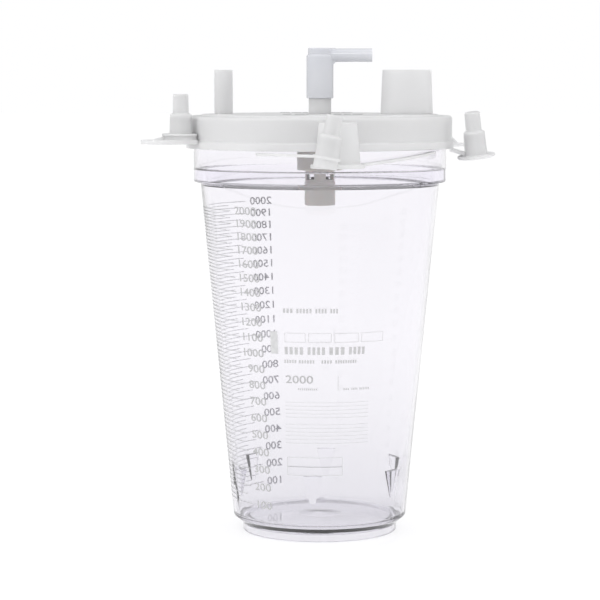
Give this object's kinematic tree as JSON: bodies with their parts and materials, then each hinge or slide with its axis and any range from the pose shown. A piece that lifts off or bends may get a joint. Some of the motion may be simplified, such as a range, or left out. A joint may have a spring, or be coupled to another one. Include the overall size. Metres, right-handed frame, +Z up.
{
  "type": "suction canister",
  "caption": "Clear tapered suction collection canister with clip-over lid, hose ports, swivel elbow, float shut-off valve and tethered caps.",
  "frame": {"origin": "on the canister's axis, at the underside of its foot ring", "axes": "+Z up along the canister's axis; +X towards the pour spout; -Y towards the graduated front"},
  "size_m": [0.2058, 0.2053, 0.2872],
  "materials": {
    "clear_styrene": "clear, very faint violet",
    "natural_polyethylene": "translucent, satin",
    "elbow_plastic": "bluish light grey, glossy",
    "valve_plastic": "beige grey, satin",
    "float_plastic": "white",
    "seal_rubber": "soft, matt",
    "filter_foam": "white, porous"
  },
  "bodies": {
    "canister": {"canister": "clear_styrene"},
    "lid": {"lid": "natural_polyethylene", "patient_port": "natural_polyethylene", "vacuum_port": "natural_polyethylene", "pour_spout": "natural_polyethylene", "valve_head": "valve_plastic", "aerosol_filter": "filter_foam", "valve_cup": "valve_plastic"},
    "elbow": {"elbow": "elbow_plastic"},
    "float": {"valve_float": "float_plastic", "float_seal": "seal_rubber"},
    "left_cap": {"left_cap": "natural_polyethylene", "left_cap_tab": "natural_polyethylene"},
    "right_cap": {"right_cap": "natural_polyethylene", "right_cap_strap": "natural_polyethylene"},
    "spout_cap": {"spout_cap": "natural_polyethylene", "spout_tether": "natural_polyethylene"},
    "front_cap": {"front_cap": "natural_polyethylene", "front_cap_strap": "natural_polyethylene"}
  },
  "joints": [
    {"name": "lid_lift", "type": "slide", "parent": "canister", "child": "lid", "axis": [0, 0, 1], "range_m": [0, 0.06]},
    {"name": "elbow_swivel", "type": "hinge", "parent": "lid", "child": "elbow", "pos_m": [0, 0, 0.2576], "axis": [0, 0, 1], "continuous": true},
    {"name": "float_rise", "type": "slide", "parent": "lid", "child": "float", "axis": [0, 0, 1], "range_m": [0, 0.004]},
    {"name": "left_cap_hinge", "type": "hinge", "parent": "lid", "child": "left_cap", "pos_m": [-0.07461, -0.02745, 0.2315], "axis": [0.3453, -0.9385, 0], "range_deg": [0, 90], "stiffness_Nm_per_rad": 0.03},
    {"name": "right_cap_hinge", "type": "hinge", "parent": "lid", "child": "right_cap", "pos_m": [0.0765, -0.02165, 0.227], "axis": [0.2723, 0.9622, 0], "range_deg": [-8, 55], "stiffness_Nm_per_rad": 0.03},
    {"name": "spout_cap_swing", "type": "hinge", "parent": "lid", "child": "spout_cap", "pos_m": [0.06395, -0.04395, 0.2267], "axis": [0, 0, 1], "range_deg": [0, 90]},
    {"name": "front_cap_swing", "type": "hinge", "parent": "lid", "child": "front_cap", "pos_m": [-0.03463, -0.06945, 0.2267], "axis": [0, 0, -1], "range_deg": [0, 60]}
  ]
}
